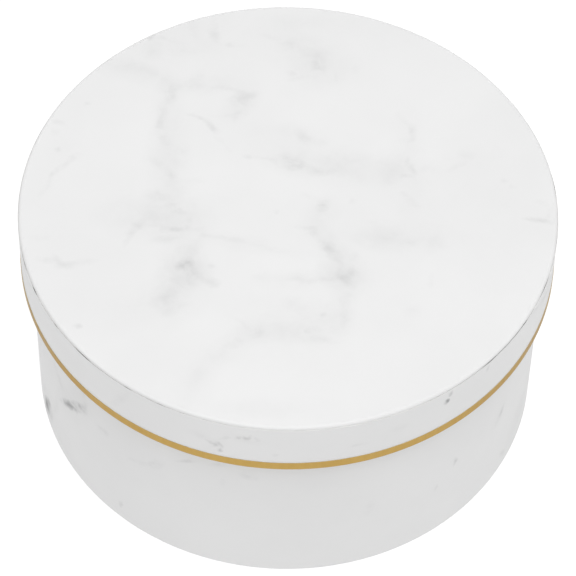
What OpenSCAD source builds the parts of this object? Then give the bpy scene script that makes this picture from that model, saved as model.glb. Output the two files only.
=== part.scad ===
// Round flower box with a lift-off lid, made as a rigid paper box is made:
// greyboard discs and rings, marble paper turned over every edge, white linings
// and a gold foil edging round the lid. Millimetres, +Z up.
// The closed box stands on z = 0 with its axis on Z. All paper joints face +Y, the back.

/* [Overall] */
// Diameter of the lid over its paper lap
lid_d = 200; // [140:1:300]
// Height of the closed box
box_h = 98.4; // [60:0.2:260]
// Depth of the lid's rim, from the top face to the foil edging's lower edge
rim_h = 25.2; // [14:0.2:60]
// Radial gap between the lid's lining and the body's paper
lid_play = 0.98; // [0.5:0.02:2]
// Gap under the lid's lining where the lid sits on the body's rim
seat_gap = 0.1; // [0.05:0.05:0.5]

/* [Board] */
// Greyboard thickness
board = 2; // [1.5:0.1:3]
// Open butt joint where a board strip meets its own end
butt_gap = 0.3; // [0.1:0.1:1]

/* [Paper] */
// Thickness of the marble, lining and base papers
paper = 0.2; // [0.1:0.01:0.3]
// Thickness of the gold foil paper
foil = 0.15; // [0.08:0.01:0.2]
// Thickness of the glue film between layers
glue = 0.03; // [0.02:0.01:0.06]
// Inside radius of a folded paper edge
fold_r = 0.06; // [0.04:0.01:0.1]
// Width of the lap where a wrapping strip overlaps its own end
lap_w = 10; // [6:0.5:20]
// Width of the paper tape across a butt joint
tape_w = 30; // [15:1:50]

/* [Turn-ins] */
// How far the lid's top paper is turned down under the rim paper
top_turn = 12; // [6:0.5:20]
// Outside radius of the lid's upper edge, where the top paper rolls over the board
edge_r = 1.1; // [0.4:0.05:1.5]
// Step from the top face down to the rim paper's upper cut edge
rim_step = 1.2; // [0.4:0.05:1.6]
// How far the rim paper is turned up inside the lid
rim_turn = 10; // [6:0.5:20]
// How far the body paper is turned down inside the body
wall_turn = 15; // [8:0.5:30]
// How far the body paper is turned in under the base
base_turn = 10; // [6:0.5:20]
// Height of the foil edging outside the lid
foil_out = 4.1; // [2:0.1:8]
// Height of the foil edging inside the lid
foil_in = 4.6; // [2:0.1:8]
// Distance from the body's rim down to its lining's upper edge
lining_drop = 4; // [1:0.5:12]
// Width of the turned-in body paper that the base sheet leaves showing
base_show = 1.9; // [0.5:0.1:5]

/* [Output] */
// Which sub-part to draw

/* [Hidden] */
$fn = 240;

marble_c = [0.93, 0.93, 0.92];
gold_c = [0.78, 0.64, 0.34];
lining_c = [0.96, 0.96, 0.94];
board_c = [0.56, 0.54, 0.50];
tape_c = [0.80, 0.72, 0.58];

layer = paper + glue;
bend_r = fold_r + paper;
cut_l = lid_d;

// Lid, radii of each layer's outside, from the outside in
rim_paper_r = lid_d / 2 - paper;
top_paper_r = rim_paper_r - layer;
rim_board_r = top_paper_r - layer;
rim_inner_r = rim_board_r - board;
rim_turn_r = rim_inner_r - glue;
rim_lining_r = rim_turn_r - layer;
foil_r = rim_paper_r + glue + foil;
lid_bore_r = rim_lining_r - paper;

// Lid, heights
lid_z0 = box_h - rim_h;
rim_paper_z0 = lid_z0 + foil + glue;
rim_board_z0 = rim_paper_z0 + layer;
lid_board_z1 = box_h - layer;
lid_board_z0 = lid_board_z1 - board;
rim_paper_z1 = box_h - rim_step;
disc_lining_z0 = lid_board_z0 - layer;

// Body, radii of each layer's outside
wrap_r = lid_bore_r - lid_play;
wall_r = wrap_r - layer;
wall_inner_r = wall_r - board;
wall_turn_r = wall_inner_r - glue;
wall_lining_r = wall_turn_r - layer;

// Body, heights
base_flange_z0 = layer;
wall_z0 = base_flange_z0 + layer;
rim_z = disc_lining_z0 - seat_gap;
wall_z1 = rim_z - layer;
floor_z1 = wall_z0 + board;
floor_lining_z1 = floor_z1 + layer;

// Upright sheet in a profile, outside face at radius r
module upright(r, z0, z1, t = paper) {
    translate([r - t, z0])
        square([t, z1 - z0]);
}

// Level sheet in a profile, lower face at height z
module level(r0, r1, z, t = paper) {
    translate([r0, z])
        square([r1 - r0, t]);
}

// Quarter bend in a profile, centred at [r, z] and turned by a
module bend(r, z, a, inner = fold_r, t = paper) {
    translate([r, z])
        rotate(a)
            intersection() {
                difference() {
                    circle(r = inner + t, $fn = 48);
                    circle(r = inner, $fn = 48);
                }
                square(inner + t);
            }
}

// Ring or tube between two radii
module ring(r_out, r_in, z0, z1) {
    translate([0, 0, z0])
        difference() {
            cylinder(r = r_out, h = z1 - z0);
            translate([0, 0, -1])
                cylinder(r = r_in, h = z1 - z0 + 2);
        }
}

// Flat round sheet or board
module disc(r, z0, z1) {
    translate([0, 0, z0])
        cylinder(r = r, h = z1 - z0);
}

// Patch of sheet as wide as w along the arc, centred on the back
module back_patch(r, w, z0, z1, t = paper) {
    a = w / r * 180 / PI;
    rotate([0, 0, 90 - a / 2])
        rotate_extrude(angle = a)
            upright(r, z0, z1, t);
}

// Strip bent round to a ring, with the butt joint of its ends at the back
module butt_ring(r_out, r_in, z0, z1) {
    difference() {
        ring(r_out, r_in, z0, z1);
        butt_cut();
    }
}

module butt_cut() {
    translate([-butt_gap / 2, 0, -1])
        cube([butt_gap, cut_l, box_h + 2]);
}

// Disc of greyboard that closes the body's lower end, inside the wall
module base_floor_board() {
    color(board_c)
        disc(wall_turn_r, wall_z0, floor_z1);
}

// Strip of greyboard that forms the body's wall
module base_wall_board() {
    color(board_c)
        butt_ring(wall_r, wall_inner_r, wall_z0, wall_z1);
}

// Tape that holds the wall board's butt joint, inside
module base_wall_tape() {
    color(tape_c)
        back_patch(wall_turn_r, tape_w, floor_lining_z1 + 1, rim_z - wall_turn - 1);
}

// Marble paper round the body, turned in over the rim and under the base
module base_wrap_paper() {
    color(marble_c) {
        rotate_extrude() {
            upright(wrap_r, base_flange_z0 + bend_r, rim_z - bend_r);
            bend(wrap_r - bend_r, rim_z - bend_r, 0);
            level(wall_turn_r - paper + bend_r, wrap_r - bend_r, rim_z - paper);
            bend(wall_turn_r - paper + bend_r, rim_z - bend_r, 90);
            upright(wall_turn_r, rim_z - wall_turn, rim_z - bend_r);
            bend(wrap_r - bend_r, base_flange_z0 + bend_r, 270);
            level(wrap_r - base_turn, wrap_r - bend_r, base_flange_z0);
        }
        back_patch(wrap_r + paper, lap_w, base_flange_z0 + bend_r, rim_z - 2 * bend_r,
                   1.5 * paper);
    }
}

// White paper inside the wall, over the turned-in wrap
module base_wall_lining() {
    color(lining_c)
        ring(wall_lining_r, wall_lining_r - paper, floor_lining_z1 + glue, rim_z - lining_drop);
}

// White paper on the floor
module base_floor_lining() {
    color(lining_c)
        disc(wall_turn_r, floor_z1 + glue, floor_lining_z1);
}

// White sheet under the base, over the turned-in wrap: the box stands on it
module base_bottom_paper() {
    color(lining_c)
        disc(wrap_r - base_show, 0, paper);
}

// Disc of greyboard under the lid's top paper, inside the rim
module lid_top_board() {
    color(board_c)
        disc(rim_turn_r, lid_board_z0, lid_board_z1);
}

// Strip of greyboard that forms the lid's rim, its upper corner rolled round
module lid_rim_board() {
    round_r = edge_r - layer;
    color(board_c)
        difference() {
            rotate_extrude() {
                translate([rim_inner_r, rim_board_z0])
                    square([board, lid_board_z1 - round_r - rim_board_z0]);
                translate([rim_inner_r, rim_board_z0])
                    square([board - round_r, lid_board_z1 - rim_board_z0]);
                translate([rim_board_r - round_r, lid_board_z1 - round_r])
                    circle(r = round_r, $fn = 48);
            }
            butt_cut();
        }
}

// Tape that holds the rim board's butt joint, inside
module lid_rim_tape() {
    color(tape_c)
        back_patch(rim_turn_r, tape_w, rim_paper_z0 + rim_turn + 1, disc_lining_z0 - 0.5);
}

// Marble paper over the lid's top, turned down over the rim board
module lid_top_paper() {
    color(marble_c) {
        disc(top_paper_r - edge_r, box_h - paper, box_h);
        rotate_extrude() {
            level(top_paper_r - 4, top_paper_r - edge_r, box_h - paper);
            bend(top_paper_r - edge_r, box_h - edge_r, 0, edge_r - paper);
            upright(top_paper_r, box_h - top_turn, box_h - edge_r);
        }
    }
}

// Marble paper strip round the rim, turned up inside the lid
module lid_rim_paper() {
    z0 = rim_paper_z0;
    color(marble_c) {
        rotate_extrude() {
            upright(rim_paper_r, z0 + bend_r, rim_paper_z1);
            bend(rim_paper_r - bend_r, z0 + bend_r, 270);
            level(rim_turn_r - paper + bend_r, rim_paper_r - bend_r, z0);
            bend(rim_turn_r - paper + bend_r, z0 + bend_r, 180);
            upright(rim_turn_r, z0 + bend_r, z0 + rim_turn);
        }
        back_patch(rim_paper_r + paper, lap_w, lid_z0 + foil_out + 0.1, rim_paper_z1,
                   1.5 * paper);
    }
}

// Gold foil paper folded round the rim's lower edge, outside and inside
module lid_foil_edging() {
    z0 = lid_z0;
    outer_c = bend_r + glue;
    inner_c = fold_r;
    color(gold_c)
        difference() {
            rotate_extrude() {
                upright(foil_r, z0 + outer_c + foil, z0 + foil_out, foil);
                bend(foil_r - outer_c - foil, z0 + outer_c + foil, 270, outer_c, foil);
                level(rim_lining_r - foil + inner_c + foil, foil_r - outer_c - foil, z0, foil);
                bend(rim_lining_r + inner_c, z0 + inner_c + foil, 180, inner_c, foil);
                upright(rim_lining_r, z0 + inner_c + foil, z0 + foil_in, foil);
            }
            butt_cut();
        }
}

// White paper under the lid's top board
module lid_disc_lining() {
    color(lining_c)
        disc(rim_turn_r, disc_lining_z0, disc_lining_z0 + paper);
}

// White paper inside the lid's rim, over the turned-in rim paper
module lid_rim_lining() {
    color(lining_c)
        ring(rim_lining_r, rim_lining_r - paper, lid_z0 + foil_in + 0.2, disc_lining_z0 - glue);
}

base_floor_board();
base_wall_board();
base_wall_tape();
base_wrap_paper();
base_wall_lining();
base_floor_lining();
base_bottom_paper();
lid_top_board();
lid_rim_board();
lid_rim_tape();
lid_top_paper();
lid_rim_paper();
lid_foil_edging();
lid_disc_lining();
lid_rim_lining();
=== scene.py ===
import math

import bmesh
import bpy
from mathutils import Matrix, Vector


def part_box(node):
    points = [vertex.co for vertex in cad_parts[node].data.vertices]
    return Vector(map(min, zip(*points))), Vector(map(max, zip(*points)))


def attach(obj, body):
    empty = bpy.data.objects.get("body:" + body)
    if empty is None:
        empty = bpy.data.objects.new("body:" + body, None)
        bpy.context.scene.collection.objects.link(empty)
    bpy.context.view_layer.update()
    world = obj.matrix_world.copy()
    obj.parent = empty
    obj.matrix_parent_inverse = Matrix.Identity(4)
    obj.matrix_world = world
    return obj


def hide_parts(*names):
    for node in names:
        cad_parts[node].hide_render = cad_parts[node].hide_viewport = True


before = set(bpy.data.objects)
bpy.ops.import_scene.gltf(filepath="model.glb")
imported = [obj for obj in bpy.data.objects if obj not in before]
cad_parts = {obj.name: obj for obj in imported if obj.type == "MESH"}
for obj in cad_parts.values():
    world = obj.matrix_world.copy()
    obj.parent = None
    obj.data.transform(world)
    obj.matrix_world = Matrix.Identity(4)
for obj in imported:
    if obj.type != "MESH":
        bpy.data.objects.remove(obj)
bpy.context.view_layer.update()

MM = 0.001

# ---------------------------------------------------------------- sizes, from the CAD boxes
TOP_LOW, TOP_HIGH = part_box("lid_top_paper")
RIM_LOW, RIM_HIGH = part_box("lid_rim_paper")
FOIL_LOW, FOIL_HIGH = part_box("lid_foil_edging")
WRAP_LOW, WRAP_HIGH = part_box("base_wrap_paper")
WALL_LINING_LOW, WALL_LINING_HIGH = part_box("base_wall_lining")
FLOOR_LINING_LOW, FLOOR_LINING_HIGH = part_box("base_floor_lining")
BOTTOM_LOW, BOTTOM_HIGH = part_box("base_bottom_paper")
DISC_LINING_LOW, DISC_LINING_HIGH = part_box("lid_disc_lining")
RIM_LINING_LOW, RIM_LINING_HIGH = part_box("lid_rim_lining")

PAPER = 0.2 * MM             # marble and lining paper
FOIL = 0.15 * MM             # foil paper
GLUE = 0.03 * MM             # glue film
BOARD = 2.0 * MM             # greyboard
FOLD = 0.26 * MM             # outside radius of a folded edge
EDGE = 1.1 * MM              # outside radius of the lid's rolled upper edge
FOIL_FOLD = 0.44 * MM        # outside radius of the foil's outer fold
TURN_UP = 10 * MM            # rim paper turned up inside the lid
TURN_IN = 15 * MM            # wrap turned in over the body's rim
TURN_UNDER = 10 * MM         # wrap turned under the base
TOP_TURN = 12 * MM           # top paper turned down under the rim paper
FOIL_OUT = 4.1 * MM          # foil's height outside
FOIL_IN = 4.6 * MM           # foil's height inside
LAP = 10 * MM                # paper strip over its own end
AROUND = 384                 # steps round a ring, 1.6 mm each at the lid
BACK = math.pi / 2           # the side where the paper strips lap
NEAR = 0.01 * MM             # how close a vertex has to be to count as on an edge
LAP_TRIM = 0.1 * MM          # how far a lap stops short of the edges it lies between
SEAM = 0.5 * MM              # width of the first ring of faces inside a cut edge

TOP_R = TOP_HIGH[0]
TOP_Z = TOP_HIGH[2]
RIM_R = RIM_HIGH[0]
FOIL_R = FOIL_HIGH[0]
WRAP_R = WRAP_HIGH[0]
RIM_INNER_R = RIM_R - 2 * (PAPER + GLUE) - BOARD - GLUE
WRAP_INNER_R = WRAP_R - PAPER - GLUE - BOARD - GLUE


# ---------------------------------------------------------------- modelling helpers
def deselect():
    if bpy.context.object and bpy.context.object.mode != "OBJECT":
        bpy.ops.object.mode_set(mode="OBJECT")
    bpy.ops.object.select_all(action="DESELECT")


def pick(piece, wanted, kind="verts"):
    """Selects, in edit mode, the vertices or edges or faces that wanted() says yes to."""
    mesh = bmesh.from_edit_mesh(piece.data)
    for group in (mesh.verts, mesh.edges, mesh.faces):
        for part in group:
            part.select = False
    chosen = getattr(mesh, kind)
    for part in chosen:
        part.select = wanted(part)
    mesh.select_flush_mode()
    bmesh.update_edit_mesh(piece.data)


def turn_of(co, middle=BACK):
    """Signed angle of a point round Z, from the middle of the lap."""
    a = math.atan2(co.y, co.x) - middle
    return (a + math.pi) % (2 * math.pi) - math.pi


def wind(name, profile, arc=None, close=False):
    """Winds a strip round Z: a circle drawn at the profile's first point and extruded along it.

    arc keeps only that angle each side of the back; close fills the last ring to its centre.
    """
    deselect()
    r, z = profile[0]
    bpy.ops.mesh.primitive_circle_add(vertices=AROUND, radius=r, location=(0, 0, z),
                                      rotation=(0, 0, BACK))
    piece = bpy.context.object
    piece.name = piece.data.name = name
    bpy.ops.object.transform_apply(location=True, rotation=True, scale=True)
    bpy.ops.object.mode_set(mode="EDIT")
    bpy.ops.mesh.select_mode(type="VERT")
    if arc:
        pick(piece, lambda v: abs(turn_of(v.co)) > arc)
        bpy.ops.mesh.delete(type="VERT")
    bpy.ops.mesh.select_all(action="SELECT")
    for next_r, next_z in profile[1:]:
        bpy.ops.mesh.extrude_region_move(TRANSFORM_OT_translate={"value": (0, 0, next_z - z)})
        bpy.ops.transform.resize(value=(next_r / r, next_r / r, 1), center_override=(0, 0, 0))
        r, z = next_r, next_z
    if close:
        bpy.ops.mesh.extrude_region_move()
        bpy.ops.mesh.merge(type="CENTER")
    bpy.ops.object.mode_set(mode="OBJECT")
    return piece


def face_out(piece, inside=False):
    deselect()
    piece.select_set(True)
    bpy.context.view_layer.objects.active = piece
    bpy.ops.object.mode_set(mode="EDIT")
    bpy.ops.mesh.select_all(action="SELECT")
    bpy.ops.mesh.normals_make_consistent(inside=inside)
    bpy.ops.object.mode_set(mode="OBJECT")


def ragged(piece, wanted, amount, seed):
    """Makes a cut edge slightly uneven, as scissors and guillotine leave it."""
    deselect()
    bpy.context.view_layer.objects.active = piece
    piece.select_set(True)
    bpy.ops.object.mode_set(mode="EDIT")
    pick(piece, wanted)
    ring = [v.co.z for v in bmesh.from_edit_mesh(piece.data).verts if v.select]
    bpy.ops.transform.vertex_random(offset=amount, uniform=0, normal=0, seed=seed)
    # The paper stays on its cylinder: only the height is uneven.
    bpy.ops.transform.tosphere(value=1, center_override=(0, 0, sum(ring) / len(ring)))
    bpy.ops.object.mode_set(mode="OBJECT")


def thicken(piece, thickness, edge_slot=0):
    """Gives a sheet its thickness on the glued side, and shades it smooth over its folds."""
    deselect()
    bpy.context.view_layer.objects.active = piece
    piece.select_set(True)
    wall = piece.modifiers.new("thickness", "SOLIDIFY")
    wall.thickness = thickness
    wall.offset = -1
    wall.use_even_offset = True
    wall.use_rim = True
    wall.material_offset_rim = edge_slot
    bpy.ops.object.modifier_apply(modifier=wall.name)
    bpy.ops.object.shade_smooth_by_angle(angle=math.radians(35))


def lap_over(main, r, z_top, z_low, edge_slot=1, outward=1):
    """Lays the strip's own end over its beginning at the back: one edge dips in, the other is cut."""
    half = LAP / 2 / r
    over = r + outward * PAPER
    flap = wind(main.name + "_lap", [(over, z_top), (over, (z_top + z_low) / 2), (over, z_low)],
                arc=half)
    deselect()
    flap.select_set(True)
    bpy.context.view_layer.objects.active = flap
    bpy.ops.object.mode_set(mode="EDIT")
    first = min(turn_of(v.co) for v in bmesh.from_edit_mesh(flap.data).verts)
    pick(flap, lambda v: turn_of(v.co) < first + 0.001)
    under = (r - 0.5 * outward * PAPER) / over
    bpy.ops.transform.resize(value=(under, under, 1), center_override=(0, 0, 0))
    bpy.ops.object.mode_set(mode="OBJECT")
    face_out(flap, inside=outward < 0)
    for slot in main.data.materials:
        flap.data.materials.append(slot)
    thicken(flap, PAPER, edge_slot)
    return join(main, flap)


def join(main, extra):
    deselect()
    extra.select_set(True)
    main.select_set(True)
    bpy.context.view_layer.objects.active = main
    bpy.ops.object.join()
    return main


def fold(r, z, radius, start, turn=90, steps=5):
    """Points of a rounded fold in a profile, from one angle to the next, in degrees."""
    angles = [math.radians(start + turn * i / steps) for i in range(steps + 1)]
    return [(r + radius * math.cos(a), z + radius * math.sin(a)) for a in angles]


def rings(r, z, *steps):
    """Points of a flat sheet in a profile, at distances in from its edge in millimetres."""
    return [(r - step * MM, z) for step in steps]


def place(piece, body, slot, *nodes):
    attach(piece, body)
    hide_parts(*nodes)


# ---------------------------------------------------------------- material helpers
def srgb(hex_colour):
    """An sRGB hex colour as the linear RGBA that shaders take."""
    parts = [int(hex_colour[i:i + 2], 16) / 255 for i in (1, 3, 5)]
    return tuple(c / 12.92 if c <= 0.04045 else ((c + 0.055) / 1.055) ** 2.4 for c in parts) + (1,)


def add(tree, kind, settings=None, links=None):
    """Adds a node: settings are its own, links are its inputs' values or the sockets that feed them."""
    node = tree.nodes.new(kind)
    for key, value in (settings or {}).items():
        setattr(node, key, value)
    for key, value in (links or {}).items():
        if isinstance(value, bpy.types.NodeSocket):
            tree.links.new(value, node.inputs[key])
        else:
            node.inputs[key].default_value = value
    return node


def start(name):
    """A new material with its shader and output, and the object coordinates in millimetres."""
    material = bpy.data.materials.new(name)
    material.use_nodes = True
    tree = material.node_tree
    tree.nodes.clear()
    shader = add(tree, "ShaderNodeBsdfPrincipled")
    add(tree, "ShaderNodeOutputMaterial", links={"Surface": shader.outputs[0]})
    place_at = add(tree, "ShaderNodeTexCoord")
    in_mm = add(tree, "ShaderNodeVectorMath", {"operation": "SCALE"},
                {0: place_at.outputs["Object"], "Scale": 1000.0})
    return material, tree, shader, in_mm.outputs[0]


# ---------------------------------------------------------------- the printed marble
# Each mark of the print is a soft oval: x, y, turn in degrees, half length, half width, ink.
# Lengths are in millimetres and ink is in percent. On the lid's top x and y are its own.
TOP_MARKS = [
    # broad haze that the strokes lie in: right side, back, long arc, left, middle, front
    (74, -5, 90, 62, 30, 1.4), (0, 92, 0, 40, 7, 2.5),
    (-66, 66, -25, 12, 5, 3), (-52, 62, -30, 12, 5, 2.5), (-44, 80, 0, 26, 8, 2.5),
    (6, 75, -40, 18, 11, 2.8), (-33, 58, 5, 14, 4, 4), (-47, 45, 85, 14, 5, 4.5),
    (-46, 28, 75, 14, 6, 4), (-45, 9, 80, 12, 7, 3.5), (-19, 50, 60, 9, 5, 4),
    (-45, -5, 0, 22, 10, 3), (-38, -24, 80, 14, 8, 4), (-40, -42, 60, 14, 9, 4),
    (-15, -18, -10, 20, 3.5, 3), (0, 23, -20, 12, 6, 5), (17, 20, -8, 18, 7, 3.5),
    (-6, 36, -8, 12, 4, 2), (5, 33, -20, 8, 5, 3), (44, 32, 90, 14, 5, 2.5),
    (39, 18, 0, 15, 6, 3), (45, 3, 80, 8, 4, 2), (12, -3, 60, 8, 5, 4),
    (15, -17, -55, 11, 4, 5), (21, -30, -70, 10, 7, 5), (6, -34, 0, 14, 4, 3.5),
    (38, -13, 0, 20, 6, 3.5), (20, -46, 85, 10, 4, 3.5), (4, -50, 0, 18, 10, 3),
    (-10, -57, 20, 10, 5, 3.5), (-22, -68, 50, 14, 5, 3), (-32, -82, 75, 12, 6, 2.2),
    (2, -68, 0, 20, 12, 1.4), (0, -91, 0, 26, 5, 1.6), (-88, 20, 70, 26, 5, 1.5),
    (68, 24, 20, 12, 6, 1.6),
    # back left: specks and short strokes near the edge
    (-54, 82, 0, 1.6, 1.4, 26), (-50, 81, -8, 4, 0.9, 8), (-53, 75, 0, 3.5, 4, 5),
    (-42, 80, 0, 2.5, 2.5, 4), (-42, 75, 0, 5, 2.5, 3.5), (-38, 86, 90, 5, 2, 3.5),
    (-31, 87, 80, 4, 1.8, 8), (-29.5, 83, 100, 3, 2.2, 7), (-24, 78.5, 0, 1.2, 1.2, 8),
    (-24, 79, 0, 6, 1.2, 3), (-63, 67, -6, 8, 3, 4), (-52, 63, -35, 9, 2.5, 3.5),
    (-36, 59, 70, 3.2, 2.2, 9), (-35, 62.5, 0, 3, 2.5, 4),
    # the long arc at the left and its branches
    (-42, 57, 25, 5.5, 1.8, 7), (-45.5, 54, 70, 4.5, 1.8, 7), (-45.5, 51, 0, 2.2, 2.2, 8),
    (-24, 56.5, -14, 5.5, 1.2, 9), (-17, 54, 0, 3.8, 2.4, 7), (-17, 51.5, 10, 5, 3.2, 9),
    (-19, 44, 80, 4, 2.2, 7), (-24, 43, 5, 5, 1.2, 3), (-49.3, 41, 85, 6, 2, 8),
    (-48.5, 34, 95, 5.5, 1.6, 6), (-44, 27.5, -40, 6, 2.2, 6), (-42, 21, 60, 6, 4, 3.5),
    (-48, 18, -50, 4.5, 1.8, 7), (-44.5, 13.5, 40, 3.2, 2.2, 9), (-43, 8, 0, 5, 5, 4.5),
    (-37, 11.5, 8, 4.5, 1.5, 6), (-36, 42.3, -20, 5, 0.8, 9), (-34.5, 41, 0, 1.2, 0.9, 9),
    (-30.5, 38.3, -38, 4.2, 1, 10), (-28.3, 35.5, -60, 2, 1, 9), (-26, 30.5, -40, 3, 1, 4),
    (-23, 27.5, -40, 2.5, 1, 3), (-50.5, 3.5, -20, 3.6, 2, 7),
    # left edge
    (-77, 47.5, 0, 1, 1, 9), (-87.3, 38, -12, 2.6, 1.2, 10), (-88, 33, 0, 2, 1.2, 5),
    (-87, 25, 0, 1.2, 1.2, 17), (-80.3, 21.5, 30, 2.4, 1.8, 10), (-83.5, 18, 40, 3.5, 1.1, 7),
    (-87.3, 14.3, 60, 1.6, 1.1, 14), (-88.5, 10, 75, 4, 0.9, 8), (-90.5, 5, 70, 3, 1.3, 8),
    (-91, -17, 0, 3, 1.4, 5), (-88, -27.5, -12, 4, 1.1, 8), (-83, -28, -50, 3, 1, 8),
    (-80.5, -30, 10, 3.6, 1.6, 9), (-75, -28, 5, 5, 1.1, 6), (-74.5, -57, 0, 1.5, 1.3, 12),
    # middle
    (-15.5, 22.7, 0, 1.2, 1, 9), (-10, 23, -4, 5, 0.9, 4), (-0.8, 21.6, -20, 4.6, 3, 13),
    (3.5, 19.8, -20, 5, 2.2, 9), (11, 17, -5, 5, 2, 9), (18, 17, 0, 5, 2.2, 4.5),
    (4.5, 33.5, -60, 4.5, 2.2, 8), (11, 32, -12, 5, 1.8, 4.5), (20, 22, 0, 8, 6, 3.5),
    (13.5, 1, 60, 2.6, 1.8, 14), (9.5, 4, -30, 4, 1.5, 6), (24, 3, 0, 1.4, 1.2, 9),
    (6, -9, 0, 4, 1, 6), (11.5, -14, -60, 5, 1.6, 9), (15.2, -18.6, -30, 3.4, 2.2, 12),
    (17.5, -22.5, -50, 3.4, 1.8, 7), (24.7, -24, 90, 2.6, 1.7, 8), (24, -30, 60, 2.8, 2, 10),
    (21, -33, -55, 4, 1.9, 11), (19, -31, 0, 7, 5, 6), (11, -34, 2, 8, 1.5, 6),
    (3, -33, 0, 5, 1.8, 3), (-4.7, -2, 0, 1, 1, 9),
    # back middle and right
    (9.5, 69.5, 85, 5.2, 1.7, 9), (12, 68.5, 90, 4, 1.4, 7), (4, 62.7, 10, 4.5, 1.2, 8),
    (-0.2, 64.8, 0, 1.8, 1.4, 11), (10, 68, 0, 9, 8, 3.5), (-6, 82, -25, 4.5, 1.3, 7),
    (4, 78, -20, 9, 6, 4), (0, 80, -40, 4, 1.4, 4), (17, 64, 90, 2.5, 0.8, 4),
    (25, 67.2, 0, 2, 1.8, 5), (42.5, 43, -60, 4, 1.2, 5), (46, 37.3, 95, 3.6, 1.5, 11),
    (43, 33.3, 10, 3, 1.1, 5), (44.3, 23, 80, 2.4, 1, 9), (46, 19, 100, 3.6, 1.5, 10),
    (43, 15.7, 0, 2.4, 0.9, 10), (38, 19, 70, 6, 4, 4.5), (52, 19, 0, 2, 1.5, 3.5),
    (43.3, 6.5, -40, 2.2, 1.1, 8), (46, 3, -40, 3, 1.7, 8), (66, 26.5, 10, 2.6, 1.8, 5),
    (63, 21.5, 40, 4.5, 1.4, 3.5), (79.5, 15, 20, 1.6, 1, 8), (82.5, 12.7, -30, 1.6, 1.1, 6),
    (93.5, -4, -14, 4, 1.2, 14), (89.5, -3.6, 0, 2.8, 0.8, 9), (94, 4, -30, 2, 1.2, 7),
    (96.3, -0.5, 60, 3, 1, 5),
    # left middle: the broken row and the dark knot under it
    (-43, 0, -40, 4, 1.8, 7), (-40, -3.6, 0, 1.8, 1.3, 13), (-36.3, -7, 90, 1.8, 1, 8),
    (-48, -7, 0, 16, 9, 5.5), (-54.5, -10, 60, 2.6, 2, 11), (-58, -14.4, 80, 2.4, 1.5, 11),
    (-59.3, -19, 70, 1.8, 0.9, 9), (-49, -10, 0, 4, 1.3, 8), (-43, -12, 0, 3, 1.4, 14),
    (-38.5, -11.3, 20, 2.4, 1.3, 9), (-33, -12, 0, 3, 1.8, 7), (-44, -16.8, 0, 5, 1.8, 6),
    (-36, -22, 40, 5, 2.6, 6), (-37.2, -28.3, 50, 3, 2.2, 19), (-35, -32.5, -70, 4, 2, 12),
    (-36.5, -31, 0, 8, 7, 7), (-29.5, -34, -30, 4, 1.8, 6), (-27, -28.5, 0, 1.6, 1, 7),
    (-27, -36, 10, 2.6, 2, 7), (-42, -42, 60, 7, 5, 8), (-40, -48, 30, 5, 2.5, 5),
    (-46, -45, 0, 6, 3, 3.5), (-29.5, -14.7, -8, 5, 1.3, 6), (-21, -16, -6, 6, 1.2, 5),
    (-10, -18.7, -12, 8, 1.2, 4), (-3, -20.5, -5, 5, 1.2, 3), (-9, -33, 0, 3, 1.6, 3.5),
    # front: faint veins and clouds
    (-16, -54, -40, 6, 1.1, 4), (-9.5, -58, 20, 3, 1.6, 7), (-15, -61.5, 40, 6, 1.8, 5),
    (-24, -69, 45, 9, 2, 3), (-30, -78, 70, 9, 2.4, 2), (0, -58, 0, 10, 4, 5),
    (3, -44.5, 0, 4, 3, 5), (8, -56, 0, 1.2, 1.1, 10), (13.8, -49.5, 0, 1.2, 1.2, 10),
    (13.5, -60.5, -10, 4.5, 1.4, 7), (20.7, -42.5, 80, 3.4, 2, 7), (20.7, -50.5, 90, 4, 1.3, 6),
    (13, -54, 30, 9, 8, 3.5), (36, -14, 0, 10, 4.5, 4), (45, -15.5, 0, 2.6, 1.8, 5),
    (54, -16, 70, 4.5, 3, 4), (52, -33, 85, 3, 1.1, 4), (45, -46, 40, 3.2, 2.4, 5),
    (31, -6.5, 0, 2, 0.9, 3.5), (-55, -48, 40, 12, 8, 2), (-12, -92, 0, 12, 4, 2.5),
]

SOFTNESS = 1.5               # a mark fades out at this many times its half width
HAZE_WIDTH = 3.5             # marks at least this half wide are haze, thinner ones are strokes

# Round the rim and the body, x runs from the middle of the front along the paper, to the right,
# and y is the height above the table.
RIM_MARKS = [
    (-22.3, 81, 90, 1.1, 0.8, 40), (-26.2, 84.6, -30, 1.8, 0.9, 13), (-24, 83.8, 50, 1.6, 0.8, 12),
    (-22.2, 83.6, -60, 1.4, 0.8, 10), (-24.5, 83, 60, 5, 2.4, 3), (-20, 88.6, 30, 2, 0.9, 11),
    (-16, 90.4, 75, 1.2, 0.9, 11), (-13.4, 91.2, -35, 1.4, 0.9, 13), (-11.6, 92.2, 40, 1.3, 0.9, 15),
    (-8.6, 91.2, -60, 1.1, 0.9, 9), (-13, 90, 0, 6, 2.4, 3), (-2.5, 82.6, 0, 1.5, 1, 5),
    (-30, 87, 0, 4, 2, 2.5), (61.3, 91.4, 90, 1.3, 0.9, 48), (62.7, 94.9, 85, 1.3, 0.9, 52),
    (81.3, 94, 80, 1.5, 0.7, 16), (-62, 88, 60, 7, 1.6, 4), (27, 84, 5, 3, 1, 4), (42, 88, 0, 3, 2, 2.5),
]
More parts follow.
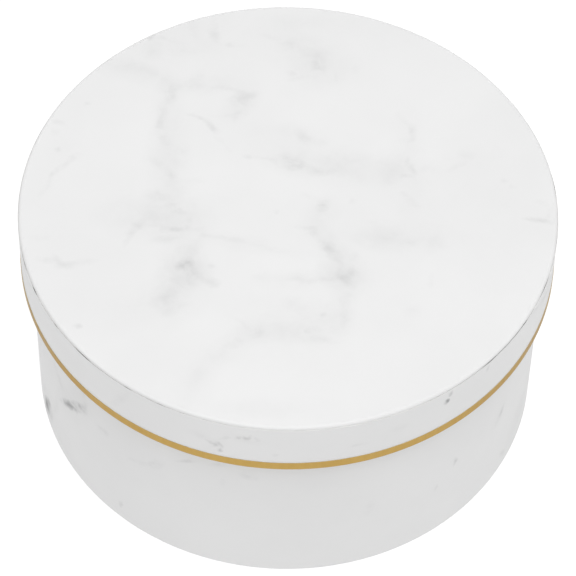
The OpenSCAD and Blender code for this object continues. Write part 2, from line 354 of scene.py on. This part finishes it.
BODY_MARKS = [
    # the strong broken stroke at the left of the front, with its cloud
    (-83, 55, 75, 5, 1.2, 7), (-87, 50, 62, 5, 1.6, 20), (-92.5, 45.5, 52, 5, 1.9, 44),
    (-97.5, 41, 60, 4, 1.3, 22), (-100.5, 39, 60, 3, 1.1, 12), (-92, 48, 55, 14, 7, 6),
    (-104, 54, -60, 8, 2.2, 5), (-84, 62, 80, 5, 1.4, 4), (-107, 28, 75, 12, 2.4, 3),
    (-120, 10, 65, 7, 2.8, 42), (-116, 12, 75, 5, 3, 14), (-119, 11, 65, 14, 6, 5),
    # faint vein from under the lid, and single specks
    (-23, 65.5, 30, 4, 1.2, 4), (-35.5, 61.5, 27, 4, 0.9, 13), (-48, 51.5, 55, 4, 2, 7),
    (-56, 46.5, 30, 5, 1.1, 4), (-12.5, 61.5, 0, 3.4, 2.2, 6), (-73, 50, 0, 2.6, 2, 6),
    (-66, 9.5, 85, 2, 0.8, 11), (-21.5, 54, 90, 2.4, 0.8, 4), (70, 38.7, 80, 2.2, 1, 11),
    (62, 29, 75, 1.8, 0.8, 5), (33, 35, 80, 4, 1.6, 2.5), (103, 7.5, -60, 4, 1.2, 8),
    (117, 12, 60, 14, 9, 5), (95, 40, 70, 12, 4, 2.5), (96, 41, 60, 4.5, 1.4, 9),
    # single specks at the sides and back
    (-140, 25, 0, 1.4, 1.1, 14), (170, 12, 0, 1.3, 1.1, 14), (250, 72, 0, 1.4, 1, 12),
]


def vein(points, half_wide, percent, haze_wide=0.0, haze_percent=0.0):
    """Marks laid end to end along a vein, each a little longer than its stretch, with their haze."""
    marks = []
    for (x0, y0), (x1, y1) in zip(points, points[1:]):
        x, y, turn = (x0 + x1) / 2, (y0 + y1) / 2, math.degrees(math.atan2(y1 - y0, x1 - x0))
        half_long = 0.62 * math.hypot(x1 - x0, y1 - y0)
        marks.append((x, y, turn, half_long, half_wide, percent))
        if haze_wide:
            marks.append((x, y, turn, half_long + haze_wide, haze_wide, haze_percent))
    return marks


# Round the sides and the back the same print goes on in long veins, as a marble slab has them:
# the vein's path, its half width and ink, then the half width and ink of its haze.
RIM_VEINS = [
    ([(112, 95), (124, 89), (134, 88), (146, 82), (158, 79)], 1.2, 5, 4, 1.8),
    ([(196, 96), (205, 90), (219, 88), (230, 82), (246, 79)], 1.1, 5, 4, 1.8),
    ([(268, 94), (277, 89), (290, 87), (304, 81)], 1.0, 4),
    ([(-120, 79), (-134, 83), (-146, 84), (-158, 91), (-166, 95)], 1.2, 5, 4, 1.8),
    ([(-188, 96), (-200, 91), (-209, 84), (-224, 81), (-236, 78)], 1.1, 5, 4, 1.8),
    ([(-254, 95), (-262, 90), (-275, 88), (-288, 81)], 1.0, 4),
]
BODY_VEINS = [
    ([(140, 74), (146, 65), (149, 56), (158, 48), (160, 38), (170, 30), (182, 26), (189, 16),
      (201, 9)], 1.3, 5, 6, 1.8),
    ([(216, 71), (224, 63), (237, 59), (245, 50), (259, 45), (269, 36), (270, 26), (283, 18),
      (296, 15)], 1.2, 4.5, 6, 1.8),
    ([(237, 59), (250, 64), (266, 65), (281, 71)], 0.9, 3.5),
    ([(160, 38), (174, 41), (188, 38), (199, 42)], 0.9, 3.5),
    ([(-136, 73), (-146, 64), (-151, 53), (-161, 45), (-166, 33), (-179, 25), (-187, 13)],
     1.3, 5.5, 6, 2),
    ([(-161, 45), (-175, 48), (-189, 45), (-203, 50), (-213, 59), (-227, 64)], 1.0, 4, 5, 1.6),
    ([(-203, 50), (-211, 39), (-225, 33), (-235, 22), (-251, 16), (-267, 17)], 1.2, 4.5, 6, 1.8),
    ([(-257, 74), (-264, 65), (-263, 55), (-274, 46), (-287, 41), (-298, 31)], 1.1, 4, 5, 1.6),
]
for path, *widths_and_ink in RIM_VEINS:
    RIM_MARKS += vein(path, *widths_and_ink)
for path, *widths_and_ink in BODY_VEINS:
    BODY_MARKS += vein(path, *widths_and_ink)

# Painted shade and rubbing on the rim strip's upper cut edge: grey at the sides and the back, where the
# shadow of the crease under the top fold is painted, with dark dashes that paint the shadow where the
# edge stands off and mark rubbed places, and nearly clean at the front.
RIM_EDGE_SCUFFS_AND_SHADE = [
    (-74, 97, 0, 42, 6, 34), (84, 97, 0, 28, 6, 36), (205, 97, 0, 55, 6, 20),
    (-210, 97, 0, 60, 6, 20),
    (-128, 97, 0, 4, 6, 45), (-115, 97, 0, 2.2, 6, 95), (-97, 97, 0, 1.4, 6, 45),
    (-80.5, 97, 0, 3.4, 6, 100), (-59, 97, 0, 1.5, 6, 50), (-45, 97, 0, 1.6, 6, 45),
    (82, 97, 0, 3, 6, 70), (97, 97, 0, 9, 6, 45), (104, 97, 0, 2, 6, 50), (122, 97, 0, 5, 6, 70),
    (-190, 97, 0, 6, 6, 40), (-245, 97, 0, 3, 6, 60), (170, 97, 0, 5, 6, 50), (232, 97, 0, 2, 6, 70),
]


def unrolled(tree, at, radius):
    """A paper strip laid flat again: distance along it from the middle of the front, and height."""
    part = add(tree, "ShaderNodeSeparateXYZ", links={0: at})
    ahead = add(tree, "ShaderNodeMath", {"operation": "MULTIPLY"}, {0: part.outputs[1], 1: -1.0})
    angle = add(tree, "ShaderNodeMath", {"operation": "ARCTAN2"},
                {0: part.outputs[0], 1: ahead.outputs[0]})
    along = add(tree, "ShaderNodeMath", {"operation": "MULTIPLY"},
                {0: angle.outputs[0], 1: radius / MM})
    return add(tree, "ShaderNodeCombineXYZ", links={0: along.outputs[0], 1: part.outputs[2]}).outputs[0]


def ink_of(tree, sheet, marks):
    """The ink of a list of soft ovals, added up."""
    ink = 0.0
    for x, y, turn, half_long, half_wide, percent in marks:
        oval = add(tree, "ShaderNodeTexGradient", {"gradient_type": "SPHERICAL"}, {"Vector": sheet})
        oval.texture_mapping.vector_type = "TEXTURE"
        oval.texture_mapping.translation = (x, y, 0)
        oval.texture_mapping.rotation = (0, 0, math.radians(turn))
        oval.texture_mapping.scale = (SOFTNESS * half_long, SOFTNESS * half_wide, 1)
        ink = add(tree, "ShaderNodeMath", {"operation": "MULTIPLY_ADD"},
                  {0: oval.outputs["Fac"], 1: percent / 100, 2: ink}).outputs[0]
    return ink


def marble_paper(name, marks, strength, round_radius=None):
    """Coated paper printed with a pale marble: satin, soft grey veins that break up into specks."""
    material, tree, shader, at = start(name)
    if round_radius:
        sheet = unrolled(tree, at, round_radius)
    else:
        sheet = add(tree, "ShaderNodeVectorMath", {"operation": "MULTIPLY"},
                    {0: at, 1: (1, 1, 0)}).outputs[0]
    # Ink wanders by up to 2 mm either way in slow bends, and by less in a fine ragged edge.
    bend, fray = 4.2, 1.2
    bends = add(tree, "ShaderNodeTexNoise", links={"Vector": at, "Scale": 1 / 8.0, "Detail": 2.0})
    ragged_edge = add(tree, "ShaderNodeTexNoise", links={"Vector": at, "Scale": 1 / 1.6, "Detail": 2.0})
    slow = add(tree, "ShaderNodeVectorMath", {"operation": "MULTIPLY_ADD"},
               {0: bends.outputs["Color"], 1: (bend, bend, 0), 2: sheet})
    fine = add(tree, "ShaderNodeVectorMath", {"operation": "MULTIPLY_ADD"},
               {0: ragged_edge.outputs["Color"], 1: (fray, fray, 0), 2: slow.outputs[0]})
    centre = -(bend + fray) / 2
    wander = add(tree, "ShaderNodeVectorMath", {"operation": "ADD"},
                 {0: fine.outputs[0], 1: (centre, centre, 0)})
    haze = ink_of(tree, wander.outputs[0], [m for m in marks if m[4] >= HAZE_WIDTH])
    strokes = ink_of(tree, wander.outputs[0], [m for m in marks if m[4] < HAZE_WIDTH])
    # Inside a mark the ink drifts like smoke, with a fine grain on top: strongly in the strokes,
    # gently in the haze.
    smoke = add(tree, "ShaderNodeTexNoise",
                links={"Vector": at, "Scale": 1 / 6.0, "Detail": 5.0, "Roughness": 0.58,
                       "Distortion": 0.4})
    drift = add(tree, "ShaderNodeMapRange", {"interpolation_type": "SMOOTHSTEP"},
                {"Value": smoke.outputs["Fac"], "From Min": 0.33, "From Max": 0.69,
                 "To Min": 0.35 * strength, "To Max": 1.5 * strength})
    veil = add(tree, "ShaderNodeMapRange",
               links={"Value": smoke.outputs["Fac"], "From Min": 0.3, "From Max": 0.7,
                      "To Min": 0.6, "To Max": 1.3})
    # Faint clouds, 40 mm across, under the whole print.
    cloud = add(tree, "ShaderNodeTexNoise",
                links={"Vector": at, "Scale": 1 / 40, "Detail": 4.0, "Roughness": 0.5})
    clouds = add(tree, "ShaderNodeMapRange",
                 links={"Value": cloud.outputs["Fac"], "From Min": 0.35, "From Max": 0.7,
                        "To Min": 0.0, "To Max": 0.03})
    broad = add(tree, "ShaderNodeMath", {"operation": "MULTIPLY_ADD"},
                {0: haze, 1: veil.outputs[0], 2: clouds.outputs[0]})
    total = add(tree, "ShaderNodeMath", {"operation": "MULTIPLY_ADD", "use_clamp": True},
                {0: strokes, 1: drift.outputs[0], 2: broad.outputs[0]})
    colour = add(tree, "ShaderNodeMix", {"data_type": "RGBA"},
                 {"Factor": total.outputs[0], "A": srgb("#ececec"), "B": srgb("#303236")})
    tree.links.new(colour.outputs["Result"], shader.inputs["Base Color"])
    shader.inputs["Roughness"].default_value = 0.58
    shader.inputs["IOR"].default_value = 1.45
    # Paper fibre pressed flat by the coating: 0.4 mm in truth, drawn at 0.8 mm so that it shows.
    fibre = add(tree, "ShaderNodeTexNoise",
                links={"Vector": at, "Scale": 1 / 0.8, "Detail": 3.0, "Roughness": 0.6})
    bump = add(tree, "ShaderNodeBump",
               links={"Height": fibre.outputs["Fac"], "Strength": 0.12, "Distance": 0.00003})
    tree.links.new(bump.outputs[0], shader.inputs["Normal"])
    return material


def cut_edge_paper(name, clean, dusty_and_shaded, dust_and_shade=0.6, scuffs_and_shade=()):
    """Raw guillotined edge of printed paper: open fibres that hold dust, darker in places where given
    marks paint rubbing and the shade of the gap beside the edge.
    """
    material, tree, shader, at = start(name)
    dirt = add(tree, "ShaderNodeTexNoise",
               links={"Vector": at, "Scale": 1 / 3.5, "Detail": 3.0, "Roughness": 0.7})
    dark = add(tree, "ShaderNodeMapRange",
               links={"Value": dirt.outputs["Fac"], "From Min": 0.45, "From Max": 0.75,
                      "To Min": 0.0, "To Max": dust_and_shade})
    # The given marks are partly rubbing and partly painted shade of the crease beside the edge.
    scuff_and_shade_ink = ink_of(tree, unrolled(tree, at, RIM_R), scuffs_and_shade) if scuffs_and_shade else 0.0
    rubbed_and_shaded = add(tree, "ShaderNodeMath", {"operation": "ADD", "use_clamp": True},
                 {0: dark.outputs[0], 1: scuff_and_shade_ink})
    colour = add(tree, "ShaderNodeMix", {"data_type": "RGBA"},
                 {"Factor": rubbed_and_shaded.outputs[0], "A": srgb(clean), "B": srgb(dusty_and_shaded)})
    tree.links.new(colour.outputs["Result"], shader.inputs["Base Color"])
    shader.inputs["Roughness"].default_value = 0.9
    return material


def gold_foil_paper(name):
    """Paper laminated with gold foil and folded over the edge: satin metal with fine creases."""
    material, tree, shader, at = start(name)
    tone = add(tree, "ShaderNodeTexNoise",
               links={"Vector": at, "Scale": 1 / 14, "Detail": 4.0, "Roughness": 0.6})
    colour = add(tree, "ShaderNodeMix", {"data_type": "RGBA"},
                 {"Factor": tone.outputs["Fac"], "A": srgb("#ba9853"), "B": srgb("#c5a55f")})
    tree.links.new(colour.outputs["Result"], shader.inputs["Base Color"])
    shader.inputs["Metallic"].default_value = 1.0
    # Seen along the surface the lacquered foil goes dull and greyer, not brighter.
    shader.inputs["Specular Tint"].default_value = srgb("#d2d5df")
    # Creases run up and down the strip, where it is drawn round the curve.
    part = add(tree, "ShaderNodeSeparateXYZ", links={0: at})
    flat_z = add(tree, "ShaderNodeMath", {"operation": "MULTIPLY"}, {0: part.outputs[2], 1: 0.15})
    tall = add(tree, "ShaderNodeCombineXYZ",
               links={0: part.outputs[0], 1: part.outputs[1], 2: flat_z.outputs[0]})
    crease = add(tree, "ShaderNodeTexNoise",
                 links={"Vector": tall.outputs[0], "Scale": 1 / 1.5, "Detail": 3.0, "Roughness": 0.55})
    rough = add(tree, "ShaderNodeMapRange",
                links={"Value": crease.outputs["Fac"], "From Min": 0.3, "From Max": 0.7,
                       "To Min": 0.34, "To Max": 0.46})
    tree.links.new(rough.outputs[0], shader.inputs["Roughness"])
    bump = add(tree, "ShaderNodeBump",
               links={"Height": crease.outputs["Fac"], "Strength": 0.25, "Distance": 0.00006})
    tree.links.new(bump.outputs[0], shader.inputs["Normal"])
    return material


def lining_paper(name):
    """Uncoated white paper, glued in: matt, with soft cockles where the glue dampened it."""
    material, tree, shader, at = start(name)
    mottle = add(tree, "ShaderNodeTexNoise",
                 links={"Vector": at, "Scale": 1 / 6, "Detail": 5.0, "Roughness": 0.65})
    colour = add(tree, "ShaderNodeMix", {"data_type": "RGBA"},
                 {"Factor": mottle.outputs["Fac"], "A": srgb("#ecebe7"), "B": srgb("#f4f3f0")})
    tree.links.new(colour.outputs["Result"], shader.inputs["Base Color"])
    shader.inputs["Roughness"].default_value = 0.85
    cockle = add(tree, "ShaderNodeTexNoise", links={"Vector": at, "Scale": 1 / 18, "Detail": 2.0})
    fibre = add(tree, "ShaderNodeTexNoise",
                links={"Vector": at, "Scale": 1 / 0.9, "Detail": 4.0, "Roughness": 0.7})
    large = add(tree, "ShaderNodeBump",
                links={"Height": cockle.outputs["Fac"], "Strength": 0.35, "Distance": 0.0006})
    small = add(tree, "ShaderNodeBump",
                links={"Height": fibre.outputs["Fac"], "Strength": 0.3, "Distance": 0.00008,
                       "Normal": large.outputs[0]})
    tree.links.new(small.outputs[0], shader.inputs["Normal"])
    return material


def grey_board(name):
    """Recycled greyboard, rolled: brownish grey with dark and light flecks of old paper."""
    material, tree, shader, at = start(name)
    fleck = add(tree, "ShaderNodeTexVoronoi", links={"Vector": at, "Scale": 1 / 1.8, "Randomness": 1.0})
    tone = add(tree, "ShaderNodeTexNoise",
               links={"Vector": at, "Scale": 1 / 2.5, "Detail": 6.0, "Roughness": 0.7})
    base = add(tree, "ShaderNodeMix", {"data_type": "RGBA"},
               {"Factor": tone.outputs["Fac"], "A": srgb("#8a857c"), "B": srgb("#a39d92")})
    near = add(tree, "ShaderNodeMapRange",
               links={"Value": fleck.outputs["Distance"], "From Min": 0.12, "From Max": 0.2,
                      "To Min": 0.35, "To Max": 0.0})
    colour = add(tree, "ShaderNodeMix", {"data_type": "RGBA"},
                 {"Factor": near.outputs[0], "A": base.outputs["Result"], "B": srgb("#4c4843")})
    tree.links.new(colour.outputs["Result"], shader.inputs["Base Color"])
    shader.inputs["Roughness"].default_value = 0.9
    bump = add(tree, "ShaderNodeBump",
               links={"Height": tone.outputs["Fac"], "Strength": 0.4, "Distance": 0.0001})
    tree.links.new(bump.outputs[0], shader.inputs["Normal"])
    return material


def kraft_tape(name):
    """Gummed kraft paper tape: pale brown, with fine lines along the roll's length."""
    material, tree, shader, at = start(name)
    part = add(tree, "ShaderNodeSeparateXYZ", links={0: at})
    thin = add(tree, "ShaderNodeMath", {"operation": "MULTIPLY"}, {0: part.outputs[0], 1: 5.0})
    lines_at = add(tree, "ShaderNodeCombineXYZ",
                   links={0: thin.outputs[0], 1: part.outputs[1], 2: part.outputs[2]})
    lines = add(tree, "ShaderNodeTexNoise",
                links={"Vector": lines_at.outputs[0], "Scale": 1 / 5, "Detail": 5.0, "Roughness": 0.7})
    colour = add(tree, "ShaderNodeMix", {"data_type": "RGBA"},
                 {"Factor": lines.outputs["Fac"], "A": srgb("#c2a884"), "B": srgb("#d6c09c")})
    tree.links.new(colour.outputs["Result"], shader.inputs["Base Color"])
    shader.inputs["Roughness"].default_value = 0.75
    bump = add(tree, "ShaderNodeBump",
               links={"Height": lines.outputs["Fac"], "Strength": 0.3, "Distance": 0.00005})
    tree.links.new(bump.outputs[0], shader.inputs["Normal"])
    return material


TOP_PRINT = marble_paper("coated_marble_print_top", TOP_MARKS, 0.62)
RIM_PRINT = marble_paper("coated_marble_print_rim", RIM_MARKS, 1.25, RIM_R)
BODY_PRINT = marble_paper("coated_marble_print_body", BODY_MARKS, 1.25, WRAP_R)
CUT_EDGE = cut_edge_paper("guillotined_paper_edge", "#d6d6d4", "#96968f")
# The rim strip's upper edge is darkened partly by dust and rubbing and partly by painted shade of the
# crease under the top fold, grey at the sides and nearly clean at the front.
RUBBED_AND_SHADED_RIM_EDGE = cut_edge_paper("guillotined_rim_paper_edge", "#e6e6e4", "#4a4a46", 0.22, RIM_EDGE_SCUFFS_AND_SHADE)
FOIL_EDGE = cut_edge_paper("guillotined_foil_paper_edge", "#cdb889", "#b39a62")
GOLD = gold_foil_paper("gold_foil_laminated_paper")
LINING = lining_paper("uncoated_white_lining_paper")
GREYBOARD = grey_board("rolled_greyboard")
TAPE = kraft_tape("gummed_kraft_tape")


def dress(piece, *materials):
    piece.data.materials.clear()
    for material in materials:
        piece.data.materials.append(material)


# ---------------------------------------------------------------- lid
# Top sheet: up the outside of the rim board, over the edge fold and flat to the middle.
top_profile = [(TOP_R, TOP_Z - TOP_TURN), (TOP_R, TOP_Z - 4 * MM), (TOP_R, TOP_Z - 1.3 * EDGE)]
top_profile += fold(TOP_R - EDGE, TOP_Z - EDGE, EDGE, 0, steps=8)
top_profile += rings(TOP_R, TOP_Z, 1.6, 2.8, 6, 14, 28, 46, 66, 84, 95)
top_sheet = wind("marble_top_sheet", top_profile, close=True)
face_out(top_sheet)
dress(top_sheet, TOP_PRINT, CUT_EDGE)
thicken(top_sheet, PAPER, 1)
place(top_sheet, "lid", "marble_paper", "lid_top_paper")

# Rim strip: cut edge under the top fold, down, under the rim board and up inside the lid.
RIM_Z0, RIM_Z1 = RIM_LOW[2], RIM_HIGH[2]
rim_profile = [(RIM_R, RIM_Z1), (RIM_R, RIM_Z1 - 0.4 * MM), (RIM_R, (RIM_Z0 + RIM_Z1) / 2)]
rim_profile += [(RIM_R, RIM_Z0 + 2 * FOLD)]
rim_profile += fold(RIM_R - FOLD, RIM_Z0 + FOLD, FOLD, 0, -90)
rim_profile += fold(RIM_INNER_R - PAPER + FOLD, RIM_Z0 + FOLD, FOLD, 270, -90)
rim_profile += [(RIM_INNER_R - PAPER, RIM_Z0 + 2 * FOLD), (RIM_INNER_R - PAPER, RIM_Z0 + TURN_UP)]
rim_strip = wind("marble_rim_strip", rim_profile)
ragged(rim_strip, lambda v: abs(v.co.z - RIM_Z1) < NEAR, 0.09 * MM, 4)
face_out(rim_strip)
dress(rim_strip, RIM_PRINT, RUBBED_AND_SHADED_RIM_EDGE)
thicken(rim_strip, PAPER, 1)
rim_strip = lap_over(rim_strip, RIM_R, RIM_Z1, FOIL_LOW[2] + FOIL_OUT + LAP_TRIM)
place(rim_strip, "lid", "marble_paper", "lid_rim_paper")

# Foil edging: outside leg, round the rim's lower edge and up the inside.
FOIL_Z0 = FOIL_LOW[2]
foil_profile = [(FOIL_R, FOIL_Z0 + FOIL_OUT), (FOIL_R, FOIL_Z0 + 2.2 * MM)]
foil_profile += [(FOIL_R, FOIL_Z0 + 2 * FOIL_FOLD)]
foil_profile += fold(FOIL_R - FOIL_FOLD, FOIL_Z0 + FOIL_FOLD, FOIL_FOLD, 0, -90, 7)
foil_profile += fold(RIM_LINING_HIGH[0] - FOIL + FOLD, FOIL_Z0 + FOLD, FOLD, 270, -90)
foil_profile += [(RIM_LINING_HIGH[0] - FOIL, FOIL_Z0 + 2 * FOLD)]
foil_profile += [(RIM_LINING_HIGH[0] - FOIL, FOIL_Z0 + FOIL_IN)]
foil_strip = wind("gold_foil_edging_strip", foil_profile)
ragged(foil_strip, lambda v: abs(v.co.z - FOIL_Z0 - FOIL_OUT) < NEAR, 0.06 * MM, 9)
face_out(foil_strip)
dress(foil_strip, GOLD, FOIL_EDGE)
thicken(foil_strip, FOIL, 1)
place(foil_strip, "lid", "gold_foil_paper", "lid_foil_edging")

# Linings of the lid.
DISC_Z = DISC_LINING_LOW[2]
disc_profile = rings(DISC_LINING_HIGH[0], DISC_Z, 0, 0.5, 4, 12, 26, 44, 62, 80, 92)
disc_lining = wind("lid_lining_round_sheet", disc_profile, close=True)
face_out(disc_lining, inside=True)
dress(disc_lining, LINING, CUT_EDGE)
thicken(disc_lining, PAPER, 1)
place(disc_lining, "lid", "lining_paper", "lid_disc_lining")

LID_BORE_R = RIM_LINING_HIGH[0] - PAPER
lid_lining = wind("lid_lining_strip", [(LID_BORE_R, RIM_LINING_LOW[2]),
                                       (LID_BORE_R, RIM_LINING_LOW[2] + SEAM),
                                       (LID_BORE_R, (RIM_LINING_LOW[2] + RIM_LINING_HIGH[2]) / 2),
                                       (LID_BORE_R, RIM_LINING_HIGH[2])])
ragged(lid_lining, lambda v: abs(v.co.z - RIM_LINING_LOW[2]) < NEAR, 0.08 * MM, 12)
face_out(lid_lining, inside=True)
dress(lid_lining, LINING, CUT_EDGE)
thicken(lid_lining, PAPER, 1)
lid_lining = lap_over(lid_lining, LID_BORE_R, RIM_LINING_HIGH[2] - LAP_TRIM,
                      RIM_LINING_LOW[2] + LAP_TRIM, outward=-1)
place(lid_lining, "lid", "lining_paper", "lid_rim_lining")

# ---------------------------------------------------------------- body
# Wrap: from under the base, up the wall, over the rim and down inside.
WRAP_Z0, WRAP_Z1 = WRAP_LOW[2], WRAP_HIGH[2]
wrap_profile = [(WRAP_R - TURN_UNDER, WRAP_Z0), (WRAP_R - 2 * MM, WRAP_Z0)]
wrap_profile += [(WRAP_R - 2 * FOLD, WRAP_Z0)]
wrap_profile += fold(WRAP_R - FOLD, WRAP_Z0 + FOLD, FOLD, 270)
wrap_profile += [(WRAP_R, WRAP_Z0 + 2 * FOLD), (WRAP_R, WRAP_Z0 + 20 * MM)]
wrap_profile += [(WRAP_R, (WRAP_Z0 + WRAP_Z1) / 2), (WRAP_R, WRAP_Z1 - 20 * MM)]
wrap_profile += [(WRAP_R, WRAP_Z1 - 2 * FOLD)]
wrap_profile += fold(WRAP_R - FOLD, WRAP_Z1 - FOLD, FOLD, 0)
wrap_profile += fold(WRAP_INNER_R - PAPER + FOLD, WRAP_Z1 - FOLD, FOLD, 90)
wrap_profile += [(WRAP_INNER_R - PAPER, WRAP_Z1 - 2 * FOLD), (WRAP_INNER_R - PAPER, WRAP_Z1 - TURN_IN)]
wall_wrap = wind("marble_wall_wrap", wrap_profile)
face_out(wall_wrap)
dress(wall_wrap, BODY_PRINT, CUT_EDGE)
thicken(wall_wrap, PAPER, 1)
wall_wrap = lap_over(wall_wrap, WRAP_R, WRAP_Z1 - 2 * FOLD, WRAP_Z0 + FOLD)
place(wall_wrap, "base", "marble_paper", "base_wrap_paper")

# Wall lining: its upper edge is cut below the rim and leaves a band of the wrap showing.
WALL_LINING_R = WALL_LINING_HIGH[0] - PAPER
wall_lining = wind("wall_lining_strip", [(WALL_LINING_R, WALL_LINING_LOW[2]),
                                         (WALL_LINING_R, WALL_LINING_HIGH[2] / 2),
                                         (WALL_LINING_R, WALL_LINING_HIGH[2] - SEAM),
                                         (WALL_LINING_R, WALL_LINING_HIGH[2])])
ragged(wall_lining, lambda v: abs(v.co.z - WALL_LINING_HIGH[2]) < NEAR, 0.1 * MM, 21)
face_out(wall_lining, inside=True)
dress(wall_lining, LINING, CUT_EDGE)
thicken(wall_lining, PAPER, 1)
wall_lining = lap_over(wall_lining, WALL_LINING_R, WALL_LINING_HIGH[2] - LAP_TRIM,
                       WALL_LINING_LOW[2] + LAP_TRIM, outward=-1)
place(wall_lining, "base", "lining_paper", "base_wall_lining")

FLOOR_Z = FLOOR_LINING_HIGH[2]
floor_profile = rings(FLOOR_LINING_HIGH[0], FLOOR_Z, 0, 0.5, 4, 12, 26, 44, 62, 78, 88)
floor_lining = wind("floor_lining_round_sheet", floor_profile, close=True)
face_out(floor_lining)
dress(floor_lining, LINING, CUT_EDGE)
thicken(floor_lining, PAPER, 1)
place(floor_lining, "base", "lining_paper", "base_floor_lining")

# Base sheet: it follows the step where the wrap is turned under, so its middle sits higher.
STEP_R = WRAP_R - TURN_UNDER
sheet_profile = [(BOTTOM_HIGH[0], 0), (BOTTOM_HIGH[0] - SEAM, 0), (STEP_R + 1.2 * MM, 0)]
sheet_profile += [(STEP_R + 0.7 * MM, 0.05 * MM), (STEP_R, 0.15 * MM), (STEP_R - 0.8 * MM, 0.2 * MM)]
sheet_profile += rings(STEP_R, 0.21 * MM, 3, 12, 26, 44, 62, 78)
base_sheet = wind("base_cover_round_sheet", sheet_profile, close=True)
face_out(base_sheet)
dress(base_sheet, LINING, CUT_EDGE)
thicken(base_sheet, PAPER, 1)
place(base_sheet, "base", "lining_paper", "base_bottom_paper")

# ---------------------------------------------------------------- boards and tapes keep their CAD shape
for node in ("base_floor_board", "base_wall_board", "lid_top_board", "lid_rim_board"):
    dress(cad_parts[node], GREYBOARD)
for node in ("base_wall_tape", "lid_rim_tape"):
    dress(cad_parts[node], TAPE)

# ---------------------------------------------------------------- stage, light and camera
deselect()
bpy.ops.mesh.primitive_circle_add(vertices=96, radius=4.0, fill_type="NGON", location=(0, 0, -0.0001))
floor = bpy.context.object
floor.name = "studio_floor"
# Opal acrylic lit from below: it glows white right up to the box and leaves hardly a shadow.
floor_material, _, floor_shader, _ = start("backlit_opal_acrylic_floor")
floor_shader.inputs["Base Color"].default_value = srgb("#808080")
floor_shader.inputs["Roughness"].default_value = 0.9
floor_shader.inputs["Emission Color"].default_value = (1, 1, 1, 1)
floor_shader.inputs["Emission Strength"].default_value = 0.86
dress(floor, floor_material)

world = bpy.data.worlds.new("studio")
bpy.context.scene.world = world
world.use_nodes = True
world.node_tree.nodes["Background"].inputs["Color"].default_value = (1, 1, 1, 1)
world.node_tree.nodes["Background"].inputs["Strength"].default_value = 0.36


BOX_MIDDLE = Vector((0, 0, 0.05))


def soft_light(name, location, size, watts):
    light = bpy.data.lights.new(name, "AREA")
    light.shape = "DISK"
    light.size = size
    light.energy = watts
    lamp = bpy.data.objects.new(name, light)
    bpy.context.scene.collection.objects.link(lamp)
    lamp.location = location
    lamp.rotation_euler = (BOX_MIDDLE - lamp.location).to_track_quat("-Z", "Y").to_euler()


soft_light("overhead_softbox", (0.12, -0.3, 2.4), 2.2, 42.5)
soft_light("right_softbox", (1.5, -1.0, 1.2), 1.2, 2)
soft_light("left_softbox", (-1.6, -1.0, 1.2), 1.4, 2)

bpy.context.scene.view_settings.view_transform = "Standard"
bpy.context.scene.view_settings.look = "None"

CAMERA_AT = Vector((0.0, -0.7330, 1.0166))
AIM = Vector((0.0006, 0.0, 0.0486))
ROLL = math.radians(1.36)
camera_data = bpy.data.cameras.new("camera")
camera_data.sensor_width = 36
camera_data.lens = 198.8
camera_data.clip_start = 0.05
camera = bpy.data.objects.new("camera", camera_data)
bpy.context.scene.collection.objects.link(camera)
look = (AIM - CAMERA_AT).to_track_quat("-Z", "Y").to_matrix().to_4x4()
camera.matrix_world = Matrix.Translation(CAMERA_AT) @ look @ Matrix.Rotation(ROLL, 4, "Z")
bpy.context.scene.camera = camera
